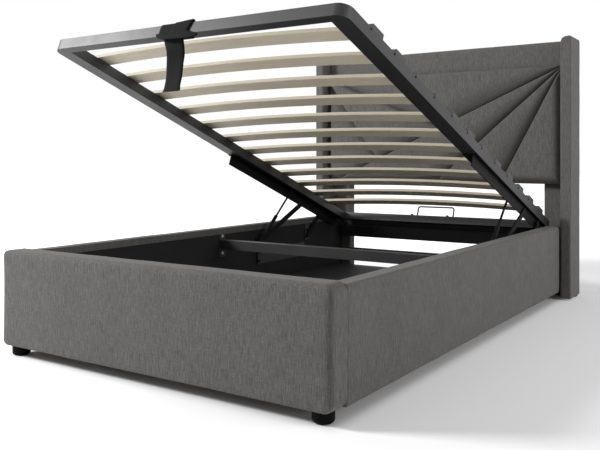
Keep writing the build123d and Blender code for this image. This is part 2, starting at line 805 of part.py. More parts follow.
def main():
    os.makedirs("parts", exist_ok=True)
    make_footboard()
    make_rail()
    make_headboard()
    make_cushion()
    make_floor()
    make_corner_bracket()
    make_feet()
    make_beam()
    make_plates()
    make_arms()
    make_struts()
    make_frame()
    make_slats()
    make_upper_bracket()
    make_mattress_stop()
    make_strap()
    print_joints()


main()
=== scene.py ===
"""Looks of the ottoman storage bed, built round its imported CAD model."""

import bpy
import bmesh
import json
import math
import numpy as np
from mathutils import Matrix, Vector, noise


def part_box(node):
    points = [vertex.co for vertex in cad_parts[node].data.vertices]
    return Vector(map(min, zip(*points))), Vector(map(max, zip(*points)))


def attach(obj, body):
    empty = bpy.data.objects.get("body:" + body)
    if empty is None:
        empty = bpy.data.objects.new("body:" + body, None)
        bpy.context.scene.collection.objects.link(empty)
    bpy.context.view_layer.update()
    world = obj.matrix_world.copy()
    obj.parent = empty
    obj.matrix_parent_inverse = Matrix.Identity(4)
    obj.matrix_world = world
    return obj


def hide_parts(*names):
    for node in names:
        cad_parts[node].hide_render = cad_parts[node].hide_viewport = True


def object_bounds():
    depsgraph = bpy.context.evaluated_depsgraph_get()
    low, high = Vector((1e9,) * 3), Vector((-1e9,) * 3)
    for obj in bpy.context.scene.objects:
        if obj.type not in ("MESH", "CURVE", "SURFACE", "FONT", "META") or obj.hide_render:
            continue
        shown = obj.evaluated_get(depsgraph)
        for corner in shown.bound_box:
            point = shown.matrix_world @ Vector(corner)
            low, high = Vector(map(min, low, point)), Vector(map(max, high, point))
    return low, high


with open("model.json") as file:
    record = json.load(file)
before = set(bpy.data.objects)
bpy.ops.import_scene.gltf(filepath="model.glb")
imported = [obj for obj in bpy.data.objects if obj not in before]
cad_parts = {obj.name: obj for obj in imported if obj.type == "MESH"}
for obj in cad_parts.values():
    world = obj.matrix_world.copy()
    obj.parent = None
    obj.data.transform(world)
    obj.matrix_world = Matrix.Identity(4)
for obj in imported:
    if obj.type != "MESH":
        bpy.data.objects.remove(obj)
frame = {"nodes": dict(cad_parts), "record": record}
cad_low, cad_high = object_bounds()

# Lengths are written in millimetres and scaled once, when a mesh is made
MM = 0.001
X, Y, Z = 0, 1, 2
FAR = 1e9


def node_box(node):
    """Lowest and highest corner of a CAD node, in millimetres."""
    return np.round(np.array(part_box(node)) / MM, 3).tolist()


FOOT_END, HEAD_END = round(cad_low[Y] / MM), round(cad_high[Y] / MM)

# Sizes of the padded pieces, read from the CAD nodes
(_, _, SURROUND_BOTTOM), (HALF_OUTER, _, FOOTBOARD_TOP) = node_box("footboard_cover")
(_, board_front, _), (_, FOOTBOARD_BACK, board_top) = node_box("footboard_board")
WRAP = FOOTBOARD_TOP - board_top
BOARD = FOOTBOARD_BACK - board_front
_, (_, RAIL_END, RAIL_TOP) = node_box("rail_cover_right")
(HALF_INNER, _, _), _ = node_box("rail_board_right")
(_, BORDER_FRONT, BORDER_BOTTOM), (_, HEADBOARD_FRONT, HEADBOARD_TOP) = node_box("headboard_border")
(LEG_INNER, _, _), (_, _, CUSHION_BOTTOM) = node_box("headboard_leg_right")
(_, WING_FRONT, GLIDE_TOP), (HALF_TOTAL, _, WING_TOP) = node_box("headboard_wing_right")

# The lifting frame's open place
TILT = math.radians(20.4)
FRAME_LENGTH = 2090
TUBE_HEIGHT = 38
(_, FRAME_FOOT_Y, _), (_, _, tube_top) = node_box("frame_foot_tube")
FRAME_FOOT_Z = tube_top - TUBE_HEIGHT * math.cos(TILT)
_, (FRAME_HALF, _, _) = node_box("frame_side_right")

# Slats
_, (SLAT_HALF, _, _) = node_box("slat_01")
SLAT_COUNT = 12
SLAT_CROWN = 19
SLAT_MARGIN = 186
SLAT_PITCH = (FRAME_LENGTH - 2 * SLAT_MARGIN) / (SLAT_COUNT - 1)


def frame_point(x, place, height):
    """World place of a spot given in the lifting frame's own plane."""
    y = FRAME_FOOT_Y + place * math.cos(TILT) + height * math.sin(TILT)
    z = FRAME_FOOT_Z - place * math.sin(TILT) + height * math.cos(TILT)
    return (x, y, z)


# Materials


class Graph:
    """Short calls for the nodes of one material."""

    def __init__(self, name):
        self.material = bpy.data.materials.new(name)
        self.material.use_nodes = True
        self.tree = self.material.node_tree
        self.tree.nodes.clear()
        self.output = self.tree.nodes.new("ShaderNodeOutputMaterial")
        places = self.tree.nodes.new("ShaderNodeTexCoord")
        self.position, self.outward = places.outputs["Object"], places.outputs["Normal"]

    def node(self, kind, **inputs):
        made = self.tree.nodes.new(kind)
        for key, value in inputs.items():
            self.put(made.inputs[key.replace("_", " ")], value)
        return made

    def put(self, socket, value):
        if isinstance(value, bpy.types.NodeSocket):
            self.tree.links.new(value, socket)
        else:
            socket.default_value = value

    def mapped(self, scale, turn=(0, 0, 0)):
        made = self.node("ShaderNodeMapping", Vector=self.position, Scale=scale, Rotation=turn)
        return made.outputs["Vector"]

    def noise(self, scale, detail, roughness, turn=(0, 0, 0)):
        made = self.node("ShaderNodeTexNoise", Vector=self.mapped(scale, turn), Scale=1.0,
                         Detail=detail, Roughness=roughness)
        return made.outputs["Fac"]

    def math(self, operation, first, second=0.0):
        made = self.tree.nodes.new("ShaderNodeMath")
        made.operation = operation
        self.put(made.inputs[0], first)
        self.put(made.inputs[1], second)
        return made.outputs["Value"]

    def ramp(self, factor, stops):
        made = self.node("ShaderNodeValToRGB", Fac=factor)
        elements = made.color_ramp.elements
        while len(elements) < len(stops):
            elements.new(0.5)
        for element, (place, colour) in zip(elements, stops):
            element.position = place
            element.color = (*colour, 1)
        return made.outputs["Color"]

    def mix(self, factor, first, second, blend="MIX"):
        made = self.tree.nodes.new("ShaderNodeMix")
        made.data_type = "RGBA"
        made.blend_type = blend
        self.put(made.inputs["Factor"], factor)
        self.put(made.inputs["A"], first if isinstance(first, bpy.types.NodeSocket) else (*first, 1))
        self.put(made.inputs["B"], second if isinstance(second, bpy.types.NodeSocket) else (*second, 1))
        return made.outputs["Result"]

    def bump(self, height, strength, distance):
        made = self.node("ShaderNodeBump", Height=height, Strength=strength, Distance=distance)
        return made.outputs["Normal"]

    def rise(self, value, start, end, low=0.0, high=1.0):
        """Smooth step from low to high while a value goes from start to end."""
        made = self.node("ShaderNodeMapRange", Value=value, From_Min=start, From_Max=end,
                         To_Min=low, To_Max=high)
        made.interpolation_type = "SMOOTHSTEP"
        return made.outputs["Result"]

    def surface(self, **inputs):
        shader = self.node("ShaderNodeBsdfPrincipled", **inputs)
        self.tree.links.new(shader.outputs["BSDF"], self.output.inputs["Surface"])
        return self.material


def simple_finish(name, noise, low, high, bump, **surface):
    """Finish with one noise that shades it from a low to a high colour and makes it uneven."""
    g = Graph(name)
    grain = g.noise(*noise)
    colour = g.ramp(grain, [(0.3, low), (0.7, high)])
    return g.surface(Base_Color=colour, Normal=g.bump(grain, *bump), **surface)


def make_fabric():
    """Grey linen weave with upright slubs, and painted shade in the seams and folds from the seam mask."""
    g = Graph("linen_fabric")
    slub = g.noise((350, 350, 30), 3.0, 0.6)
    thread = g.noise((900, 900, 95), 2.0, 0.55)
    cross = g.noise((80, 80, 760), 2.0, 0.5)
    patch = g.noise((7, 7, 4), 2.0, 0.5)
    mixed = g.math("ADD", g.math("MULTIPLY", slub, 0.5), g.math("MULTIPLY", thread, 0.28))
    mixed = g.math("ADD", mixed, g.math("MULTIPLY", cross, 0.22))
    weave = g.ramp(mixed, [(0.36, (0.066, 0.064, 0.0605)), (0.5, (0.109, 0.106, 0.101)),
                           (0.64, (0.159, 0.155, 0.148))])
    tone = g.ramp(patch, [(0.35, (0.96, 0.96, 0.96)), (0.65, (1.03, 1.03, 1.03))])
    colour = g.mix(1.0, weave, tone, "MULTIPLY")
    # The seam mask darkens the fabric to this colour: a dark seam line, with painted shade in the grooves and
    # folds beside it
    seam = g.tree.nodes.new("ShaderNodeAttribute")
    seam.attribute_name = "seam"
    colour = g.mix(seam.outputs["Fac"], colour, (0.03, 0.029, 0.028))
    rough = g.ramp(mixed, [(0.3, (0.92, 0.92, 0.92)), (0.7, (0.78, 0.78, 0.78))])
    return g.surface(Base_Color=colour, Roughness=rough, Sheen_Weight=0.1, Sheen_Roughness=0.4,
                     Specular_IOR_Level=0.25, Normal=g.bump(mixed, 0.6, 0.0012))


def make_lining():
    """Black board that lines the box, with a faint fibre."""
    g = Graph("black_lining")
    fibre = g.noise((140, 140, 140), 4.0, 0.6)
    patch = g.noise((3, 2, 3), 2.0, 0.5)
    colour = g.ramp(fibre, [(0.35, (0.0075, 0.0075, 0.0078)), (0.7, (0.016, 0.016, 0.0165))])
    colour = g.mix(g.math("MULTIPLY", patch, 0.35), colour, (0.02, 0.02, 0.02))
    return g.surface(Base_Color=colour, Roughness=0.8, Specular_IOR_Level=0.25,
                     Normal=g.bump(fibre, 0.25, 0.0006))


def make_floor_board():
    """Dark laminated board of the box's floor."""
    return simple_finish("floor_board", ((14, 260, 90), 4.0, 0.6), (0.020, 0.020, 0.021),
                         (0.036, 0.036, 0.036), (0.15, 0.0005), Roughness=0.55, Specular_IOR_Level=0.4)


def make_bearer():
    return simple_finish("bearer_wood", ((9, 9, 160), 4.0, 0.55), (0.30, 0.21, 0.12),
                         (0.45, 0.34, 0.21), (0.3, 0.0006), Roughness=0.6)


def make_steel():
    """Powder-coated tube, satin black with a faint orange peel and worn edges."""
    g = Graph("powder_coated_steel")
    peel = g.noise((850, 850, 850), 2.0, 0.5)
    cloud = g.noise((6, 6, 6), 3.0, 0.55)
    colour = g.ramp(cloud, [(0.3, (0.009, 0.009, 0.009)), (0.7, (0.015, 0.0148, 0.0145))])
    edge = g.node("ShaderNodeNewGeometry").outputs["Pointiness"]
    wear = g.ramp(edge, [(0.5, (0.0, 0.0, 0.0)), (0.62, (1.0, 1.0, 1.0))])
    colour = g.mix(g.math("MULTIPLY", wear, 0.2), colour, (0.05, 0.05, 0.05))
    rough = g.ramp(cloud, [(0.3, (0.44, 0.44, 0.44)), (0.7, (0.53, 0.53, 0.53))])
    return g.surface(Base_Color=colour, Roughness=rough, Specular_IOR_Level=0.45,
                     Normal=g.bump(peel, 0.12, 0.0004))


def make_dark_steel():
    """Deep black steel of the brackets, arms and struts."""
    return simple_finish("black_linkage_steel", ((40, 40, 40), 3.0, 0.55), (0.0035, 0.0035, 0.0036),
                         (0.007, 0.007, 0.007), (0.1, 0.0003), Roughness=0.62, Specular_IOR_Level=0.1)


# A slat drops from its middle by this times the squared distance in metres
SLAT_BOW = SLAT_CROWN * MM / (SLAT_HALF * MM) ** 2
PLY_WAVES = 3900.0


def make_slat_wood():
    """Bent birch laminate: long grain on the faces, and thin darker plies on the long edges."""
    g = Graph("slat_laminate")
    turn = (TILT, 0, 0)
    grain = g.noise((3.2, 240, 240), 4.0, 0.6, turn)
    fleck = g.noise((22, 700, 700), 2.0, 0.5, turn)
    tone = g.noise((0.9, 5, 5), 2.0, 0.5, turn)
    mixed = g.math("ADD", g.math("MULTIPLY", grain, 0.65), g.math("MULTIPLY", fleck, 0.35))
    colour = g.ramp(mixed, [(0.3, (0.62, 0.53, 0.39)), (0.55, (0.77, 0.69, 0.53)),
                            (0.75, (0.86, 0.79, 0.64))])
    colour = g.mix(g.math("MULTIPLY", tone, 0.35), colour, (0.76, 0.69, 0.55))
    parts = g.node("ShaderNodeSeparateXYZ", Vector=g.mapped((1, 1, 1), turn))
    bow = g.math("MULTIPLY", g.math("POWER", parts.outputs["X"], 2.0), SLAT_BOW)
    height = g.math("ADD", parts.outputs["Z"], bow)
    ply = g.math("SINE", g.math("MULTIPLY", height, PLY_WAVES))
    line = g.ramp(ply, [(0.0, (0.82, 0.80, 0.76)), (0.5, (1.0, 1.0, 1.0))])
    plies = g.mix(1.0, g.mix(1.0, colour, line, "MULTIPLY"), (0.62, 0.63, 0.62), "MULTIPLY")
    facing = g.node("ShaderNodeSeparateXYZ", Vector=g.outward)
    on_edge = g.ramp(g.math("ABSOLUTE", facing.outputs["Y"]), [(0.6, (0, 0, 0)), (0.85, (1, 1, 1))])
    colour = g.mix(on_edge, colour, plies)
    return g.surface(Base_Color=colour, Roughness=0.5, Specular_IOR_Level=0.3,
                     Normal=g.bump(mixed, 0.2, 0.0005))


def make_plastic():
    return simple_finish("moulded_plastic", ((1200, 1200, 1200), 2.0, 0.5), (0.0015, 0.0015, 0.0015),
                         (0.003, 0.003, 0.003), (0.2, 0.0003), Roughness=0.55, Specular_IOR_Level=0.06)


def make_holder_plastic():
    """Charcoal plastic of the slats' holders, as light as the tubes beside it."""
    return simple_finish("charcoal_plastic", ((900, 900, 900), 2.0, 0.5), (0.03, 0.03, 0.0295),
                         (0.045, 0.045, 0.044), (0.2, 0.0003), Roughness=0.5, Specular_IOR_Level=0.4)


def make_zinc():
    g = Graph("zinc_plated_steel")
    cloud = g.noise((160, 160, 160), 3.0, 0.6)
    colour = g.ramp(cloud, [(0.3, (0.46, 0.46, 0.44)), (0.7, (0.66, 0.66, 0.65))])
    rough = g.ramp(cloud, [(0.3, (0.24, 0.24, 0.24)), (0.7, (0.42, 0.42, 0.42))])
    return g.surface(Base_Color=colour, Metallic=1.0, Roughness=rough,
                     Normal=g.bump(cloud, 0.1, 0.0003))


RIB_WIDTH = 0.006
RIB_WAVES = 1800.0


def make_webbing():
    """Black woven strap with a herringbone rib."""
    g = Graph("black_webbing")
    parts = g.node("ShaderNodeSeparateXYZ", Vector=g.position)
    across = g.math("PINGPONG", parts.outputs["X"], RIB_WIDTH)
    upward = g.math("MULTIPLY", parts.outputs["Z"], RIB_WAVES)
    rib = g.math("SINE", g.math("ADD", upward, g.math("MULTIPLY", across, RIB_WAVES)))
    thread = g.noise((900, 900, 900), 2.0, 0.5)
    mixed = g.math("ADD", g.math("MULTIPLY", rib, 0.3), thread)
    colour = g.ramp(mixed, [(0.3, (0.0034, 0.0037, 0.0039)), (0.85, (0.0082, 0.0088, 0.0093))])
    return g.surface(Base_Color=colour, Roughness=0.8, Specular_IOR_Level=0.12,
                     Normal=g.bump(mixed, 0.5, 0.0008))


fabric, plastic, webbing = make_fabric(), make_plastic(), make_webbing()
dark_steel, holder_plastic = make_dark_steel(), make_holder_plastic()

FINISHES = {
    "grey_fabric": fabric,
    "black_board": make_lining(),
    "floor_board": make_floor_board(),
    "bearer_wood": make_bearer(),
    "black_steel": make_steel(),
    "slat_wood": make_slat_wood(),
    "black_plastic": plastic,
    "zinc_steel": make_zinc(),
    "black_webbing": webbing,
}


# Camera, lights and stage, in metres

CAMERA_PLACE = (1.609, -2.696, 0.661)
CAMERA_TURN = 33.61
CAMERA_LENS = 45.456
CAMERA_SENSOR = 36
CAMERA_SHIFT = -0.1092
CAMERA_REACH = (0.05, 100)

# Strength of the soft light from all sides, and of the backdrop and the floor's painted glow where the camera
# sees them
AMBIENT = 0.36
BACKDROP = 1.0
FLOOR_GLOW = 0.17
FAR_FLOOR_GLOW = 0.9
# The floor's painted glow rises between these distances from a spot beside the bed, so the floor stays darker
# there as painted shade
PAINTED_SHADE_CENTRE = (1.1, 0.1, 0)
GLOW_FROM = 1.2
GLOW_TO = 4.2
# It also comes up between these distances outside the footprint, and stays off under the bed
CONTACT_FROM = -0.03
CONTACT_TO = 0.03
FLOOR_REACH = 30


def make_camera():
    data = bpy.data.cameras.new("camera")
    data.lens = CAMERA_LENS
    data.sensor_width = CAMERA_SENSOR
    data.shift_y = CAMERA_SHIFT
    data.clip_start, data.clip_end = CAMERA_REACH
    camera = bpy.data.objects.new("camera", data)
    camera.location = CAMERA_PLACE
    camera.rotation_euler = (math.radians(90), 0, math.radians(CAMERA_TURN))
    bpy.context.scene.collection.objects.link(camera)
    bpy.context.scene.camera = camera


def make_lamp(name, place, aim, size, power):
    data = bpy.data.lights.new(name, "AREA")
    data.shape = "RECTANGLE"
    data.size, data.size_y = size
    data.energy = power
    lamp = bpy.data.objects.new(name, data)
    lamp.location = place
    lamp.rotation_euler = (Vector(aim) - Vector(place)).to_track_quat("-Z", "Y").to_euler()
    bpy.context.scene.collection.objects.link(lamp)


def seen_directly(tree):
    """1 for camera, glossy and transmission rays, 0 for the light that falls on the object."""
    path = tree.nodes.new("ShaderNodeLightPath")
    seen = path.outputs["Is Camera Ray"]
    for ray in ("Is Glossy Ray", "Is Transmission Ray"):
        either = tree.nodes.new("ShaderNodeMath")
        either.operation = "MAXIMUM"
        tree.links.new(seen, either.inputs[0])
        tree.links.new(path.outputs[ray], either.inputs[1])
        seen = either.outputs["Value"]
    return seen


def make_world():
    world = bpy.data.worlds.new("studio")
    bpy.context.scene.world = world
    world.use_nodes = True
    tree = world.node_tree
    tree.nodes.clear()
    output = tree.nodes.new("ShaderNodeOutputWorld")
    mixed = tree.nodes.new("ShaderNodeMixShader")
    tree.links.new(seen_directly(tree), mixed.inputs["Fac"])
    for socket, strength in ((1, AMBIENT), (2, BACKDROP)):
        light = tree.nodes.new("ShaderNodeBackground")
        light.inputs["Color"].default_value = (1, 1, 1, 1)
        light.inputs["Strength"].default_value = strength
        tree.links.new(light.outputs["Background"], mixed.inputs[socket])
    tree.links.new(mixed.outputs["Shader"], output.inputs["Surface"])


def make_floor_finish():
    """Pale floor with painted light of its own where the camera sees it, with less of it near the bed."""
    g = Graph("pale_floor")
    diffuse = g.node("ShaderNodeBsdfDiffuse", Color=(0.9, 0.9, 0.905, 1))
    # Painted light: the floor glows plain white away from the bed, and glows less near a spot beside it,
    # which paints shade where the bed's shadow falls
    apart = g.tree.nodes.new("ShaderNodeVectorMath")
    apart.operation = "DISTANCE"
    g.put(apart.inputs[0], g.position)
    g.put(apart.inputs[1], PAINTED_SHADE_CENTRE)
    rising = g.rise(apart.outputs["Value"], GLOW_FROM, GLOW_TO, FLOOR_GLOW, FAR_FLOOR_GLOW)
    rising = g.math("MULTIPLY", seen_directly(g.tree), rising)
    # Under the bed the floor has none of this painted glow, so the contact shadow stays dark
    sides = g.node("ShaderNodeSeparateXYZ", Vector=g.position)
    beyond = [g.math("SUBTRACT", g.math("ABSOLUTE", sides.outputs[axis]), half * MM)
              for axis, half in (("X", HALF_OUTER), ("Y", HEAD_END))]
    clear = g.rise(g.math("MAXIMUM", *beyond), CONTACT_FROM, CONTACT_TO)
    glow = g.node("ShaderNodeEmission", Strength=g.math("MULTIPLY", rising, clear))
    added = g.tree.nodes.new("ShaderNodeAddShader")
    g.put(added.inputs[0], diffuse.outputs["BSDF"])
    g.put(added.inputs[1], glow.outputs["Emission"])
    g.put(g.output.inputs["Surface"], added.outputs["Shader"])
    return g.material


def make_floor():
    mesh = bpy.data.meshes.new("studio_floor")
    corners = [(x * FLOOR_REACH, y * FLOOR_REACH, 0) for x, y in ((-1, -1), (1, -1), (1, 1), (-1, 1))]
    mesh.from_pydata(corners, [], [(0, 1, 2, 3)])
    mesh.materials.append(make_floor_finish())
    floor = bpy.data.objects.new("studio_floor", mesh)
    bpy.context.scene.collection.objects.link(floor)


make_camera()
make_world()
make_floor()
make_lamp("key", place=(-3.8, -3.15, 3.0), aim=(0.2, -0.4, 0.4), size=(1.3, 1.3), power=300)
make_lamp("fill", place=(4.6, 0.4, 1.7), aim=(0.7, 0.5, 0.6), size=(2.6, 1.6), power=84)


# Mesh helpers


def add_mesh(name, points, faces, material, body="base"):
    """Makes an object from points in millimetres, and lets it ride on a body."""
    mesh = bpy.data.meshes.new(name)
    mesh.from_pydata((np.asarray(points, float) * MM).tolist(), [], faces)
    mesh.materials.append(material)
    mesh.validate()
    mesh.polygons.foreach_set("use_smooth", [True] * len(mesh.polygons))
    made = bpy.data.objects.new(name, mesh)
    bpy.context.scene.collection.objects.link(made)
    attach(made, body)
    return made


JOIN_DISTANCE = 0.05
FINE_JOIN_DISTANCE = 0.01


def clean_mesh(made, distance=JOIN_DISTANCE):
    """Joins points that lie on each other, and turns all faces outward."""
    work = bmesh.new()
    work.from_mesh(made.data)
    bmesh.ops.remove_doubles(work, verts=work.verts, dist=distance * MM)
    bmesh.ops.recalc_face_normals(work, faces=work.faces)
    work.to_mesh(made.data)
    work.free()


def bevel(made, width):
    modifier = made.modifiers.new("edges", "BEVEL")
    modifier.width = width * MM
    modifier.segments = 2
    modifier.limit_method = "ANGLE"
    modifier.angle_limit = math.radians(35)
    modifier.harden_normals = True


def points_of(made):
    flat = np.zeros(len(made.data.vertices) * 3)
    made.data.vertices.foreach_get("co", flat)
    return flat.reshape(-1, 3) / MM


def normals_of(made):
    flat = np.zeros(len(made.data.vertices) * 3)
    made.data.vertices.foreach_get("normal", flat)
    return flat.reshape(-1, 3)


def put_points(made, points):
    made.data.vertices.foreach_set("co", (points * MM).astype(np.float32).ravel())
    made.data.update()


def waves(points, size, seed):
    """Smooth noise between -1 and 1 at points in millimetres, with the same size each run."""
    offset = np.array([seed * 37.3, seed * 11.9, seed * 5.1])
    return np.array([noise.noise(Vector(p)) for p in points / size + offset])


def distance_to_line(points, line):
    """Distance of each point to a polyline, and how far along the line that is."""
    best = np.full(len(points), FAR)
    place = np.zeros(len(points))
    walked = 0.0
    for start, end in zip(line[:-1], line[1:]):
        start, step = np.array(start, float), np.array(end, float) - np.array(start, float)
        length = np.linalg.norm(step)
        share = np.clip((points - start) @ step / length**2, 0, 1)
        distance = np.linalg.norm(points - start - share[:, None] * step, axis=1)
        nearer = distance < best
        best[nearer] = distance[nearer]
        place[nearer] = walked + share[nearer] * length
        walked += length
    return best, place


# Stores the seam mask, a dark seam line with painted shade in the grooves and folds beside it
def add_seam_line_and_painted_shade(made, values):
    attribute = made.data.attributes.get("seam") or made.data.attributes.new("seam", "FLOAT", "POINT")
    old = np.zeros(len(values), np.float32)
    attribute.data.foreach_get("value", old)
    attribute.data.foreach_set("value", np.maximum(old, values).astype(np.float32))


def ring_faces(start, rings, count):
    """Quads between rings of count points each, which follow one another from point start on."""
    faces = []
    for ring in range(rings - 1):
        low = start + ring * count
        high = low + count
        for index in range(count):
            following = (index + 1) % count
            faces.append((low + index, low + following, high + following, high + index))
    return faces


def capped_faces(start, rings, count):
    """Quads between rings of points, with the first and the last ring as faces too."""
    last = start + (rings - 1) * count
    return ring_faces(start, rings, count) + [tuple(range(ring, ring + count)) for ring in (start, last)]


def sew(made, line, width, depth, swell, shade):
    """Presses a sewn seam into a padded piece along a line, with small gathers beside it, and paints shade
    along it in the seam mask.
    """
    points, normals = points_of(made), normals_of(made)
    distance, place = distance_to_line(points, line)
    groove = np.exp(-(distance / width) ** 2)
    beside = np.exp(-((distance - 3 * width) / (1.6 * width)) ** 2)
    gather = 0.6 + 0.4 * np.sin(place / 3.1 + 2 * np.sin(place / 23))
    put_points(made, points + normals * (swell * gather * beside - depth * groove)[:, None])
    # Painted shade along the seam groove
    add_seam_line_and_painted_shade(made, np.exp(-(distance / (0.8 * width)) ** 2) * shade)


def round_edge(points, radius, first, second):
    """Draws the edge between two faces in to a quarter circle; a face is (axis, place, way out)."""
    (a, a_place, a_way), (b, b_place, b_way) = first, second
    over_a = np.clip(a_way * (points[:, a] - a_place) + radius, 0, None)
    over_b = np.clip(b_way * (points[:, b] - b_place) + radius, 0, None)
    reach = np.hypot(over_a, over_b)
    share = np.minimum(radius / np.maximum(reach, 1), 1)
    points[:, a] += a_way * over_a * (share - 1)
    points[:, b] += b_way * over_b * (share - 1)


def loosen(made, amount, size, seed):
    """Gives padded fabric the slight unevenness of real upholstery."""
    points, normals = points_of(made), normals_of(made)
    put_points(made, points + normals * (amount * waves(points, size, seed))[:, None])


# Steps round a rounded corner, and the least radius and half width that a ring keeps
ARC_STEPS = 10
LEAST_RADIUS = 0.3
LEAST_HALF_WIDTH = 0.6


def outline(spans, radii, inset, counts):
    """Rounded rectangle drawn in by inset, with counts steps along its four straight sides."""
    (a0, a1), (b0, b1) = spans
    inset = min(inset, (a1 - a0) / 2 - LEAST_HALF_WIDTH, (b1 - b0) / 2 - LEAST_HALF_WIDTH)
    corners = ((a1, b0, -90), (a1, b1, 0), (a0, b1, 90), (a0, b0, 180))
    arcs = []
    for (a, b, start), radius in zip(corners, radii):
        small = max(radius - inset, LEAST_RADIUS)
        centre_a = a - (inset + small) if a == a1 else a + inset + small
        centre_b = b - (inset + small) if b == b1 else b + inset + small
        turns = np.radians(start + np.linspace(0, 90, ARC_STEPS + 1))
        arcs.append(np.stack([centre_a + small * np.cos(turns), centre_b + small * np.sin(turns)], 1))
    points = []
    for index, (arc, count) in enumerate(zip(arcs, counts)):
        points.extend(arc)
        following = arcs[(index + 1) % 4][0]
        shares = np.linspace(0, 1, count + 1)[1:-1]
        points.extend(arc[-1] + (following - arc[-1]) * share for share in shares)
    return np.array(points)


def edge_steps(radius, count):
    """Inset and fall of the points round a quarter circle, from the side to the face."""
    turns = np.radians(np.linspace(0, 90, count + 1))
    return [(radius * (1 - math.cos(t)), radius * (1 - math.sin(t))) for t in turns]


FIRST_STEP = 2.5


def face_steps(start, reach, spacing):
    """Insets of the rings across a face, close together at its edge."""
    insets, step = [], FIRST_STEP
    place = start + step
    while place < reach:
        insets.append(place)
        step = min(step * 1.5, spacing)
        place += step
    return insets + [reach]


# Distance from a slab's rounded front edge over which its fabric falls to its full front
FALL_WIDTH = 16


def padded_slab(name, spans, radii, thickness, plane, front_radius, back_radius, fall, spacing,
                side_spacing=6, sign=1, recess=None):
    """Upholstered slab whose outline lies in a plane and whose soft front faces away from its back.

    spans and radii give the outline, thickness the places of its front and back, and recess
    the spans and the depth of the board's seat in the back.
    """
    front, back = thickness
    depth = abs(back - front)
    way = 1 if back > front else -1
    (a0, a1), (b0, b1) = spans
    reach = min(a1 - a0, b1 - b0) / 2 - LEAST_HALF_WIDTH
    counts = [max(2, round(side / spacing)) for side in (b1 - b0, a1 - a0, b1 - b0, a1 - a0)]
    outer = (spans, radii)
    if recess:
        seat_spans, seat = recess
        seated = (seat_spans, [max(radius - WRAP, 1) for radius in radii])
        sections = [(seated, 0, depth - seat), (seated, 0, depth), (outer, back_radius, depth)]
    else:
        sections = [(outer, inset, depth) for inset in reversed(face_steps(back_radius, reach, spacing * 2))]
    sections += [(outer, inset, depth - drop) for inset, drop in reversed(edge_steps(back_radius, 4))]
    count = max(1, int((depth - back_radius - front_radius - fall) / side_spacing))
    levels = np.linspace(depth - back_radius, front_radius + fall, count + 1)[1:-1]
    sections += [(outer, 0, level) for level in levels]
    sections += [(outer, inset, drop + fall) for inset, drop in edge_steps(front_radius, 7)]
    for inset in face_steps(front_radius, reach, spacing):
        sections.append((outer, inset, fall * math.exp(-(inset - front_radius) / FALL_WIDTH)))
    rings = []
    for shape, inset, level in sections:
        flat = outline(*shape, inset, counts)
        across = np.full(len(flat), front + way * level)
        columns = (flat[:, 0], across, flat[:, 1]) if plane == "XZ" else (across, flat[:, 0], flat[:, 1])
        rings.append(np.stack(columns, 1))
    points = np.concatenate(rings)
    points[:, X] *= sign
    made = add_mesh(name, points, capped_faces(0, len(rings), len(rings[0])), fabric)
    clean_mesh(made)
    return made


# Materials and edges of the CAD nodes that stay

SLOTS = {row["node"]: row["material_slot"] for row in frame["record"]["subparts"]}

BEVELS = {
    "floor_board": 0.8,
    "black_board": 0.8,
    "bearer_wood": 0.8,
    "black_steel": 1.2,
    "slat_wood": 3.5,
    "black_plastic": 0.8,
    "zinc_steel": 0.5,
}
FINE_BEVEL = 0.5
FINE = ("cross_beam_plates", "hinge_plate_left", "hinge_plate_right", "rear_plates", "corner_brackets",
        "gas_cylinder_left", "gas_cylinder_right")

# Nodes whose names begin so belong to the linkage, which is blacker than the tubes
LINKAGE = ("upper_bracket", "front_arm", "rear_arm", "gas_cylinder", "gas_rod", "hinge_pins")
# Bolts beyond this Y, in metres, are the rear arms' pins, which are black too
REAR_PIN_FROM = 0.3


def dress_nodes():
    for name, made in frame["nodes"].items():
        slot = SLOTS[name]
        finish = FINISHES[slot]
        if name.startswith(LINKAGE):
            finish = dark_steel
        if name.startswith("slat_holders"):
            finish = holder_plastic
        made.data.materials.clear()
        made.data.materials.append(finish)
        if name == "plate_bolts":
            made.data.materials.append(dark_steel)
            for polygon in made.data.polygons:
                polygon.material_index = int(polygon.center.y > REAR_PIN_FROM)
        width = BEVELS.get(slot)
        if width and name != "mattress_stop":
            bevel(made, min(width, FINE_BEVEL) if name in FINE else width)


dress_nodes()


# Padded surround

FOOTBOARD_MIDDLE = (SURROUND_BOTTOM + FOOTBOARD_TOP) / 2
FOOTBOARD_CORNER = 30
FOOTBOARD_TOP_ROLL = 19
FOOTBOARD_END_ROLL = 14
# The front panel's ends lie this far back, and the boxing beside them draws in as far
END_DRAW = 3.5
END_DRAW_WIDTH = 14
BOXING_DRAW_WIDTH = 12
FRONT_DEPTH = 20

# Seam at each end of the front panel, up its front and in a curl over the top edge
END_SEAM_HALF = 135
CURL_RADIUS = 18
CURL_INSET = 3
CURL_DROP = 21
CURL_STEPS = 8
CURL_STEP_ANGLE = 11
TOP_SEAM_INSET = 4
TOP_SEAM_DROP = 2

# Strip of fabric turned over a rim, with its place below the rim
STRIP_START = 4
STRIP_END = 27
STRIP_CORNER = 2
STRIP_PROUD = 2
STRIP_SUNK = 1
FOOTBOARD_STRIP_GAP = 4
RAIL_STRIP_GAPS = (5, 24)

RAIL_CORNERS = (26, 26, 5, 5)
RAIL_GAPS = (0.4, 0)
RAIL_SEAT_GAPS = (1, 0.8)


def rail_span(gaps):
    """Span between the footboard and the rail's head end, less a gap at each."""
    foot_gap, head_gap = gaps
    return (FOOTBOARD_BACK + foot_gap, RAIL_END - head_gap)


def finish_pad(node):
    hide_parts(node)


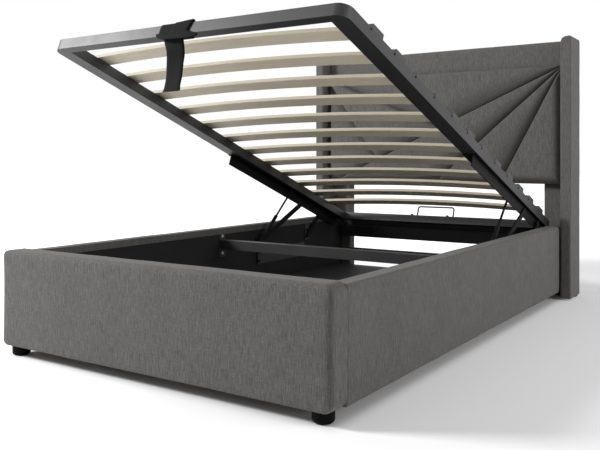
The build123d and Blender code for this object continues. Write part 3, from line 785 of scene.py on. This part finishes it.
def turned_strip(name, span, rim, face, out, plane, seed, sign=1):
    """End of the fabric that turns over a rim onto the inner face; out is the way off that face."""
    strip = padded_slab(name, (span, (rim - STRIP_END, rim - STRIP_START)), [STRIP_CORNER] * 4,
                        (face + out * STRIP_PROUD, face - out * STRIP_SUNK), plane, front_radius=1,
                        back_radius=0.8, fall=0.2, spacing=10, sign=sign)
    loosen(strip, amount=0.5, size=40, seed=seed)


def end_seam(side):
    """Line of the seam at one end of the footboard's front panel."""
    shares = np.linspace(-1, 0.99, 12)
    line = [(side * (HALF_OUTER - END_DRAW * (2 - share**2)), FOOT_END + END_DRAW,
             FOOTBOARD_MIDDLE + share * END_SEAM_HALF) for share in shares]
    for step in range(1, CURL_STEPS + 1):
        turn = math.radians(step * CURL_STEP_ANGLE)
        line.append((side * (HALF_OUTER - CURL_INSET), FOOT_END + FRONT_DEPTH - CURL_RADIUS * math.cos(turn),
                     FOOTBOARD_TOP - CURL_DROP + CURL_RADIUS * math.sin(turn)))
    line.append((side * (HALF_OUTER - TOP_SEAM_INSET), FOOTBOARD_BACK - WRAP,
                 FOOTBOARD_TOP - TOP_SEAM_DROP))
    return line


def make_footboard():
    spans = ((-HALF_OUTER, HALF_OUTER), (SURROUND_BOTTOM, FOOTBOARD_TOP))
    seat = ((-HALF_OUTER + WRAP, HALF_OUTER - WRAP), (SURROUND_BOTTOM + WRAP, FOOTBOARD_TOP - WRAP))
    pad = padded_slab("footboard_pad", spans, [FOOTBOARD_CORNER] * 4, (FOOT_END, FOOTBOARD_BACK), "XZ",
                      front_radius=8, back_radius=3, fall=1.5, spacing=12, side_spacing=3.5,
                      recess=(seat, BOARD))
    points = points_of(pad)
    round_edge(points, FOOTBOARD_TOP_ROLL, (Y, FOOT_END, -1), (Z, FOOTBOARD_TOP, 1))
    for side in (-1, 1):
        round_edge(points, FOOTBOARD_END_ROLL, (Y, FOOT_END, -1), (X, side * HALF_OUTER, side))
    # The front panel swells between the seams at its ends
    from_end = HALF_OUTER - np.abs(points[:, X])
    front = np.clip((FOOT_END + FRONT_DEPTH - points[:, Y]) / FRONT_DEPTH, 0, 1)
    points[:, Y] += END_DRAW * np.exp(-from_end / END_DRAW_WIDTH) * front
    # The boxing at the ends draws in a little between top and bottom
    height = np.clip((points[:, Z] - FOOTBOARD_MIDDLE) / (FOOTBOARD_TOP - FOOTBOARD_MIDDLE), -1, 1)
    drawn = END_DRAW * np.exp(-from_end / BOXING_DRAW_WIDTH) * (1 - height**2) * front
    points[:, X] -= np.sign(points[:, X]) * drawn
    put_points(pad, points)
    loosen(pad, amount=0.8, size=130, seed=1)
    for side in (-1, 1):
        line = end_seam(side)
        # The broad mask paints the shade of the rounded end beside the seam, the narrow one the shade in the
        # seam's crease over the top corner
        sew(pad, line, width=8, depth=2.2, swell=0.4, shade=0.3)
        sew(pad, line[-CURL_STEPS - 1:], width=1.8, depth=1.6, swell=0.3, shade=0.8)
    finish_pad("footboard_cover")
    half = HALF_INNER - FOOTBOARD_STRIP_GAP
    turned_strip("footboard_inner_wrap", (-half, half), FOOTBOARD_TOP, FOOTBOARD_BACK, 1, "XZ", 2)


def make_rails():
    spans = (rail_span(RAIL_GAPS), (SURROUND_BOTTOM, RAIL_TOP))
    seat = (rail_span(RAIL_SEAT_GAPS), (SURROUND_BOTTOM + WRAP, RAIL_TOP - WRAP))
    for side, label in ((1, "right"), (-1, "left")):
        pad = padded_slab(f"rail_pad_{label}", spans, RAIL_CORNERS, (HALF_OUTER, HALF_INNER), "YZ",
                          front_radius=9, back_radius=0.7, fall=1.2, spacing=13, sign=side,
                          recess=(seat, BOARD))
        loosen(pad, amount=0.9, size=140, seed=3 + side)
        finish_pad(f"rail_cover_{label}")
        turned_strip(f"rail_inner_wrap_{label}", rail_span(RAIL_STRIP_GAPS), RAIL_TOP, HALF_INNER, -1,
                     "YZ", 5 + side, side)


# Headboard

HEADBOARD_HALF = HALF_OUTER - 0.5
LEG_GAP = 0.3
BORDER_CORNERS = (3, 4, 4, 3)
BORDER_ROLL = 16
BACK_CORNERS = (5, 8, 8, 5)
LEG_CORNERS = (4, 3, 3, 4)
WING_CORNERS = (5, 16, 8, 5)
WING_ROLL = 34
WING_FRONT_ROLL = 10
# Seam round the wing's outer face, as places behind the wing's front and heights
WING_SEAM_INSET = 1.5
WING_SEAM = ((1.5, GLIDE_TOP + 6), (1.5, WING_TOP - 9), (3.5, WING_TOP - 3), (9, WING_TOP - 1.5),
             (HEAD_END - WING_FRONT - 16, WING_TOP - 1.5))


def make_border_and_back():
    span = (-HEADBOARD_HALF, HEADBOARD_HALF)
    border = padded_slab("headboard_border_pad", (span, (BORDER_BOTTOM, HEADBOARD_TOP)), BORDER_CORNERS,
                         (BORDER_FRONT, HEADBOARD_FRONT), "XZ", front_radius=1.2, back_radius=2,
                         fall=1.2, spacing=12)
    points = points_of(border)
    round_edge(points, BORDER_ROLL, (Y, BORDER_FRONT, -1), (Z, HEADBOARD_TOP, 1))
    put_points(border, points)
    loosen(border, amount=0.7, size=110, seed=8)
    finish_pad("headboard_border")
    back = padded_slab("headboard_back_pad", (span, (CUSHION_BOTTOM, HEADBOARD_TOP)), BACK_CORNERS,
                       (HEAD_END, HEADBOARD_FRONT), "XZ", front_radius=14, back_radius=1.5, fall=1.0,
                       spacing=16)
    loosen(back, amount=0.7, size=150, seed=9)
    finish_pad("headboard_panel")


def make_leg_and_wing(side, label):
    leg = padded_slab(f"headboard_leg_pad_{label}",
                      ((LEG_INNER, HEADBOARD_HALF), (GLIDE_TOP, CUSHION_BOTTOM - LEG_GAP)),
                      LEG_CORNERS, (HEADBOARD_FRONT, HEAD_END), "XZ", front_radius=6, back_radius=6,
                      fall=0.8, spacing=12, sign=side)
    loosen(leg, amount=0.5, size=90, seed=11 + side)
    finish_pad(f"headboard_leg_{label}")
    wing = padded_slab(f"headboard_wing_pad_{label}", ((WING_FRONT, HEAD_END), (GLIDE_TOP, WING_TOP)),
                       WING_CORNERS, (HALF_TOTAL, HALF_OUTER), "YZ", front_radius=5, back_radius=5,
                       fall=1.0, spacing=11, side_spacing=4, sign=side)
    points = points_of(wing)
    # The fabric rolls over the inner top edge, and swells on the narrow front
    round_edge(points, WING_ROLL, (X, side * HALF_OUTER, -side), (Z, WING_TOP, 1))
    round_edge(points, WING_FRONT_ROLL, (X, side * HALF_OUTER, -side), (Y, WING_FRONT, -1))
    put_points(wing, points)
    loosen(wing, amount=0.8, size=120, seed=14 + side)
    edge = side * (HALF_TOTAL - WING_SEAM_INSET)
    line = [(edge, WING_FRONT + back, height) for back, height in WING_SEAM]
    # The seam mask paints shade in the groove round the wing's outer face
    sew(wing, line, width=2.6, depth=1.2, swell=0.8, shade=0.4)
    finish_pad(f"headboard_wing_{label}")


def make_headboard():
    make_border_and_back()
    make_leg_and_wing(1, "right")
    make_leg_and_wing(-1, "left")


# Headboard cushion with two fans of sewn channels

CUSHION_TOP = BORDER_BOTTOM - 0.2
CUSHION_HALF = HALF_OUTER - 1
CHANNEL_FRONT = BORDER_FRONT + 1
CROWN = 40
# The fans spread from the upper corners
FAN_LEFT = (-CUSHION_HALF, CUSHION_TOP)
FAN_RIGHT = (CUSHION_HALF, CUSHION_TOP)
# The right fan's seams end on the bottom edge, and the left fan's on the longest of them
LONG_FOOT, MIDDLE_FOOT, SHORT_FOOT = -610, 0, 347
STEEP_JOIN, SHALLOW_JOIN = -347, 20

# Distances over which the fabric rises from its edges, and their limits as shares of a panel's width
STEEP_RISE = 9
GENTLE_RISE = 95
RIM_RISE = 42
STEEP_RISE_SHARE = 0.3
GENTLE_RISE_SHARE = 0.62
# A panel this wide stands out in full
FULL_WIDTH = 150
WIDEST = 400
SMALL = 0.01

# Rings of points from a panel's edge to its middle
FIRST_INSETS = (0, 0.7, 1.8)
FIRST_INSET_STEP = 2
LAST_INSET_STEP = 14
STEP_GROWTH_SHARE = 1.28
INNERMOST_SHARE = 0.95
RING_SPACING = 8
INSET_TRIES = 30

SEAM_SINK = 3.5
SEAM_SINK_WIDTH = 2.5
# Painted shade: each seam is darkest in the fold on its falling side, and a fainter painted shade reaches
# further up that side
FOLD_SHADE_WIDTH = 2.2
FOLD_SHADE_SHARE = 0.7
FALL_SHADE_WIDTH = 14
FALL_SHADE_SHARE = 0.22

# Steps back from the front to the board, and how the rim is drawn in
BACK_LEVELS = (7, 14, 30, 44)
RIM_DEPTH = 5
RIM_ROLL = 2
RIM_ROLL_WIDTH = 4
SIDE_DRAW = 4

# Small gathers beside the seams, whose lines are rounded to whole millimetres, and soft unevenness
GATHER_LINES = (((654, 1113), (-610, 541)), ((654, 1113), (0, 541)), ((654, 1113), (347, 541)),
                ((-654, 1113), (-347, 660)), ((-654, 1113), (20, 826)))
GATHER_DEPTH = 0.45
GATHER_LENGTH = 4.2
GATHER_DRIFT = 37
GATHER_PLACE = 9
GATHER_WIDTH = 8
GATHER_START = 4
SEAM_OFFSET = 500
SOFT_DEPTH = 1.1
SOFT_SIZE = 95
SOFT_START = 40
GATHERED_DEPTH = 3


def on_long_seam(x):
    """Point at x on the seam from the lower left to the upper right corner."""
    share = (x - LONG_FOOT) / (CUSHION_HALF - LONG_FOOT)
    return (x, CUSHION_BOTTOM + share * (CUSHION_TOP - CUSHION_BOTTOM))


def fan_panels():
    """Six panels as corner lists, with the kind of edge that follows each corner.

    The fabric rises fast from a steep edge and slowly from a gentle one, and top and rim are the
    cushion's own edges.
    """
    steep_join, shallow_join = on_long_seam(STEEP_JOIN), on_long_seam(SHALLOW_JOIN)
    long_foot, middle_foot, short_foot = [(x, CUSHION_BOTTOM) for x in (LONG_FOOT, MIDDLE_FOOT, SHORT_FOOT)]
    low_left, low_right = (-CUSHION_HALF, CUSHION_BOTTOM), (CUSHION_HALF, CUSHION_BOTTOM)
    return [
        ([FAN_LEFT, shallow_join, FAN_RIGHT], ["gentle", "gentle", "top"]),
        ([FAN_LEFT, steep_join, shallow_join], ["steep", "gentle", "steep"]),
        ([FAN_LEFT, low_left, long_foot, steep_join], ["rim", "rim", "gentle", "gentle"]),
        ([FAN_RIGHT, long_foot, middle_foot], ["steep", "rim", "gentle"]),
        ([FAN_RIGHT, middle_foot, short_foot], ["steep", "rim", "gentle"]),
        ([FAN_RIGHT, short_foot, low_right], ["steep", "rim", "rim"]),
    ]


def panel_lines(corners):
    """Inward normal and offset of each side of a convex panel."""
    corners = np.array(corners, float)
    lines = []
    for start, step in zip(corners, np.roll(corners, -1, axis=0) - corners):
        normal = np.array([-step[1], step[0]]) / np.linalg.norm(step)
        if normal @ (corners.mean(axis=0) - start) < 0:
            normal = -normal
        lines.append((normal, normal @ start))
    return lines


def inset_corners(lines, inset):
    corners = []
    for (n0, o0), (n1, o1) in zip(lines[-1:] + lines[:-1], lines):
        corners.append(np.linalg.solve([n0, n1], [o0 + inset, o1 + inset]))
    return np.array(corners)


def deepest_inset(lines, corners):
    """Largest inset at which each side of a panel still runs its old way."""
    low, high = 0, WIDEST
    old = np.roll(corners, -1, axis=0) - corners
    for _ in range(INSET_TRIES):
        middle = (low + high) / 2
        moved = inset_corners(lines, middle)
        kept = np.sum(old * (np.roll(moved, -1, axis=0) - moved), axis=1).min() > 0
        low, high = (middle, high) if kept else (low, middle)
    return low


def from_edges(flat, lines, kinds, wanted):
    """Distance of points of a panel to the nearest of its edges of the wanted kinds."""
    distances = [flat @ normal - offset for (normal, offset), kind in zip(lines, kinds) if kind in wanted]
    return np.min(distances + [np.full(len(flat), FAR)], axis=0)


def puff(flat, lines, kinds):
    """How far the fabric stands out of the seams at points of one panel, from 0 to 1."""
    steep = np.minimum(from_edges(flat, lines, kinds, ("steep", "top")), WIDEST)
    gentle = np.minimum(from_edges(flat, lines, kinds, ("gentle",)), WIDEST)
    rim = from_edges(flat, lines, kinds, ("rim",))
    width = steep + gentle
    steep_rise = np.minimum(STEEP_RISE, STEEP_RISE_SHARE * width + SMALL)
    gentle_rise = np.minimum(GENTLE_RISE, GENTLE_RISE_SHARE * width + SMALL)
    rise = 1 - (1 - np.clip(steep / steep_rise, 0, 1)) ** 2.2
    drop = 1 - (1 - np.clip(gentle / gentle_rise, 0, 1)) ** 2
    edge = 1 - (1 - np.clip(rim / RIM_RISE, 0, 1)) ** 2
    size = np.clip(width / FULL_WIDTH, 0, 1) ** 0.6
    return rise * drop * edge * size


def panel_insets(deepest):
    insets, step = list(FIRST_INSETS), FIRST_INSET_STEP
    while insets[-1] + step < deepest:
        insets.append(insets[-1] + step)
        step = min(step * STEP_GROWTH_SHARE, LAST_INSET_STEP)
    return insets + [deepest]


def make_panel(corners, kinds):
    """Points, rings and painted shade of one puffed panel."""
    lines = panel_lines(corners)
    insets = panel_insets(deepest_inset(lines, corners) * INNERMOST_SHARE)
    counts = [max(3, int(math.dist(a, b) / RING_SPACING)) for a, b in zip(corners, corners[1:] + corners[:1])]
    points, shades = [], []
    for inset in insets:
        moved = inset_corners(lines, inset)
        sides = zip(moved, np.roll(moved, -1, axis=0), counts)
        flat = np.concatenate([np.linspace(a, b, count, endpoint=False) for a, b, count in sides])
        nearest = from_edges(flat, lines, kinds, ("steep", "gentle"))
        fold = from_edges(flat, lines, kinds, ("gentle",))
        sunk = SEAM_SINK * np.exp(-nearest / SEAM_SINK_WIDTH)
        depth = CHANNEL_FRONT + sunk - CROWN * puff(flat, lines, kinds)
        points += [(x, y, z) for (x, z), y in zip(flat, depth)]
        # Painted shade in the fold beside each gentle edge, fading up the falling side
        shades += list(np.maximum(FOLD_SHADE_SHARE * np.exp(-(fold / FOLD_SHADE_WIDTH) ** 2),
                                  FALL_SHADE_SHARE * np.exp(-fold / FALL_SHADE_WIDTH)))
    return points, len(insets), sum(counts), shades


def close_back(cushion):
    """Carries the rims back to the board in steps and closes them there."""
    work = bmesh.new()
    work.from_mesh(cushion.data)
    bmesh.ops.remove_doubles(work, verts=work.verts, dist=JOIN_DISTANCE * MM)
    rim = [edge for edge in work.edges if len(edge.link_faces) == 1]
    for level in BACK_LEVELS:
        made = bmesh.ops.extrude_edge_only(work, edges=rim)["geom"]
        rim = [item for item in made if isinstance(item, bmesh.types.BMEdge)]
        for item in made:
            if isinstance(item, bmesh.types.BMVert):
                item.co.y = (CHANNEL_FRONT + level) * MM
    bmesh.ops.contextual_create(work, geom=rim)
    bmesh.ops.recalc_face_normals(work, faces=work.faces)
    work.to_mesh(cushion.data)
    work.free()
    cushion.data.polygons.foreach_set("use_smooth", [True] * len(cushion.data.polygons))


def draw_in_rim(cushion):
    """Rolls the rim back, and draws the sides and the bottom in between the corners."""
    points = points_of(cushion)
    middle = (CUSHION_BOTTOM + CUSHION_TOP) / 2
    half_height = (CUSHION_TOP - CUSHION_BOTTOM) / 2
    u, v = points[:, X] / CUSHION_HALF, (points[:, Z] - middle) / half_height
    near = np.minimum(CUSHION_HALF - np.abs(points[:, X]), half_height - np.abs(points[:, Z] - middle))
    rolled = points[:, Y] < CHANNEL_FRONT + RIM_DEPTH
    points[:, Y] += np.where(rolled, RIM_ROLL * np.exp(-np.clip(near, 0, None) / RIM_ROLL_WIDTH), 0)
    points[:, X] -= np.sign(u) * SIDE_DRAW * np.abs(u) ** 6 * (1 - v**2)
    points[:, Z] += np.where(v < 0, SIDE_DRAW, 0) * np.abs(v) ** 6 * (1 - u**2)
    put_points(cushion, points)


def gather_seams(cushion):
    """Gives the fabric small gathers beside the seams and a soft unevenness between them."""
    points, normals = points_of(cushion), normals_of(cushion)
    nearest = np.full(len(points), FAR)
    place = np.zeros(len(points))
    for number, seam in enumerate(GATHER_LINES):
        distance, walked = distance_to_line(points[:, [X, Z]], seam)
        nearer = distance < nearest
        nearest[nearer] = distance[nearer]
        place[nearer] = walked[nearer] + SEAM_OFFSET * number
    ripple = np.sin(place / GATHER_LENGTH + 2.5 * np.sin(place / GATHER_DRIFT))
    ripple *= np.exp(-np.abs(nearest - GATHER_PLACE) / GATHER_WIDTH) * np.clip(nearest / GATHER_START, 0, 1)
    soft = waves(points, SOFT_SIZE, seed=21) * np.clip(nearest / SOFT_START, 0, 1)
    amount = GATHER_DEPTH * ripple + SOFT_DEPTH * soft
    amount = np.where(points[:, Y] < CHANNEL_FRONT + GATHERED_DEPTH, amount, 0)
    put_points(cushion, points + normals * amount[:, None])


def make_cushion():
    points, faces, shades = [], [], []
    for corners, kinds in fan_panels():
        start = len(points)
        made, rings, count, shade = make_panel(corners, kinds)
        points += made
        shades += shade
        last = start + (rings - 1) * count
        faces += ring_faces(start, rings, count)
        faces.append(tuple(range(last, last + count)))
    cushion = add_mesh("headboard_cushion_pad", points, faces, fabric)
    # The panels' painted fold shade goes into the seam mask
    add_seam_line_and_painted_shade(cushion, np.array(shades))
    close_back(cushion)
    draw_in_rim(cushion)
    gather_seams(cushion)
    finish_pad("headboard_cushion")


# Pull strap

# Places across the strap and their share of its thickness
STRAP_SECTION_SHARES = ((-1, 0.4), (-0.96, 1), (-0.6, 1), (-0.2, 1), (0.2, 1), (0.6, 1), (0.96, 1), (1, 0.4))
TAIL_START = (0, 10, -4)
BACK_TAIL_STEP = (2, 3.2, 3)


def ribbon(name, line, sides, steps, thickness):
    """Flat strap along a smooth line through some points; sides are the half widths there as vectors."""
    centres, sides = smooth_line(line, steps), smooth_line(sides, steps)
    points = []
    for centre, side, ahead in zip(centres, sides, np.gradient(centres, axis=0)):
        normal = np.cross(ahead, side)
        half = normal / np.linalg.norm(normal) * thickness / 2
        points += [centre + side * across + half * deep for across, deep in STRAP_SECTION_SHARES]
        points += [centre + side * across - half * deep for across, deep in reversed(STRAP_SECTION_SHARES)]
    faces = capped_faces(0, steps, 2 * len(STRAP_SECTION_SHARES))
    made = add_mesh(name, points, faces, webbing, "lift_frame")
    clean_mesh(made, FINE_JOIN_DISTANCE)
    return made


def smooth_line(points, count):
    """Points evenly spread on a smooth curve through the given ones."""
    points = np.array(points, float)
    slopes = np.gradient(points, axis=0)
    fine = np.linspace(0, len(points) - 1, count)
    index = np.minimum(fine.astype(int), len(points) - 2)
    t = (fine - index)[:, None]
    a, b, m, n = points[index], points[index + 1], slopes[index], slopes[index + 1]
    return ((2 * t**3 - 3 * t**2 + 1) * a + (t**3 - 2 * t**2 + t) * m
            + (3 * t**2 - 2 * t**3) * b + (t**3 - t**2) * n)


def on_frame(points):
    return [frame_point(*point) for point in points]


def make_strap_loop():
    # One turn round the foot tube: under it, up its front, over its top and down its back
    loop = [(-18, 30, -2.4), (-18, 8, -2.8), (-19, -1.5, 2), (-20, -1.8, 19), (-19, -1.6, 36),
            (-18, 4, 40.6), (-18, 28, 40.4), (-18, 35.4, 35), (-18, 35.8, 19), (-18, 35.2, 3),
            (-18, 29, -2.4)]
    half = (60, 62, 64, 63, 62, 60, 58, 56, 56, 57, 58)
    ribbon("strap_wrap", on_frame(loop), [(width, 0, 0) for width in half], steps=61, thickness=2.2)
    # Second turn over the right half of the first, ending in a raised corner
    fold = [(3, -3, -4), (4, -4.2, 8), (8, -4.4, 22), (12, -4.1, 35), (14, -1, 44), (13, 12, 45),
            (9, 27, 42.6)]
    reach = [(34, 1), (34, 1.5), (35, 2), (36, 2.5), (36, 2.8), (34, 2), (30, 1)]
    sides = [(across, lift * math.tan(TILT), lift) for across, lift in reach]
    ribbon("strap_fold", on_frame(fold), sides, steps=40, thickness=2.4)


def make_strap_gather():
    # Gathered part that holds the tail under the tube, wider than the tail on both sides
    gather = [(-92, -2, 3), (-74, -4.2, -2), (-50, -5.4, -6), (-18, -5.8, -7), (20, -5.8, -7), (50, -5, -8),
              (80, -2, -8)]
    depth = [(4, 0), (8.5, 2.5), (10, 3.7), (10, 3.7), (11, 4), (10, 3.7), (4, 2.5)]
    sides = [(0, lean, tall) for tall, lean in depth]
    ribbon("strap_gather", on_frame(gather), sides, steps=46, thickness=3.4)


def make_strap_tail():
    """Doubled tail that hangs straight down, sways and ends cut square."""
    _, hang_y, hang_z = frame_point(*TAIL_START)
    rows = ((0, -25, 0, 40, 0.0), (12, -25, -3, 37, 0.03), (38, -17, -5, 32.5, 0.12),
            (62, -17, -4, 32.5, 0.08), (90, -23, -1, 34, -0.04), (122, -29, 2, 36, -0.12),
            (152, -38, 3, 37.5, -0.16), (167, -41, 2, 38.5, -0.1))
    tail = [(x, hang_y + forward, hang_z - drop) for drop, x, forward, _, _ in rows]
    breadth = [(width * math.cos(twist), width * math.sin(twist), 0) for _, _, _, width, twist in rows]
    front = ribbon("strap_tail", tail, breadth, steps=50, thickness=2.4)
    ribbon("strap_tail_back", np.array(tail) + BACK_TAIL_STEP, breadth, steps=50, thickness=2.4)
    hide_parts("pull_strap")


def make_strap():
    make_strap_loop()
    make_strap_gather()
    make_strap_tail()


# Small fittings of the lifting frame

PEG_HEIGHT = 34
PEG_MARGIN = 146
PEG_STEPS = 16
# Outline of a peg's head as radius and distance from the tube
PEG_PROFILE = ((3.8, 0.0), (3.6, 0.9), (2.9, 1.6), (1.6, 2.0))


def make_pegs():
    """Round peg heads that show on the outer faces of the side tubes beside each slat."""
    points, faces = [], []
    turns = [2 * math.pi * step / PEG_STEPS for step in range(PEG_STEPS)]
    for side in (-1, 1):
        for number in range(SLAT_COUNT):
            place = PEG_MARGIN + SLAT_PITCH * number
            start = len(points)
            for radius, out in PEG_PROFILE:
                points += [frame_point(side * (FRAME_HALF + out), place + radius * math.cos(turn),
                                       PEG_HEIGHT + radius * math.sin(turn)) for turn in turns]
            faces += capped_faces(start, len(PEG_PROFILE), PEG_STEPS)
    pegs = add_mesh("holder_pegs", points, faces, plastic, "lift_frame")
    clean_mesh(pegs, FINE_JOIN_DISTANCE)


make_footboard()
make_rails()
make_headboard()
make_cushion()
make_strap()
make_pegs()

bpy.context.scene.view_settings.view_transform = "Standard"
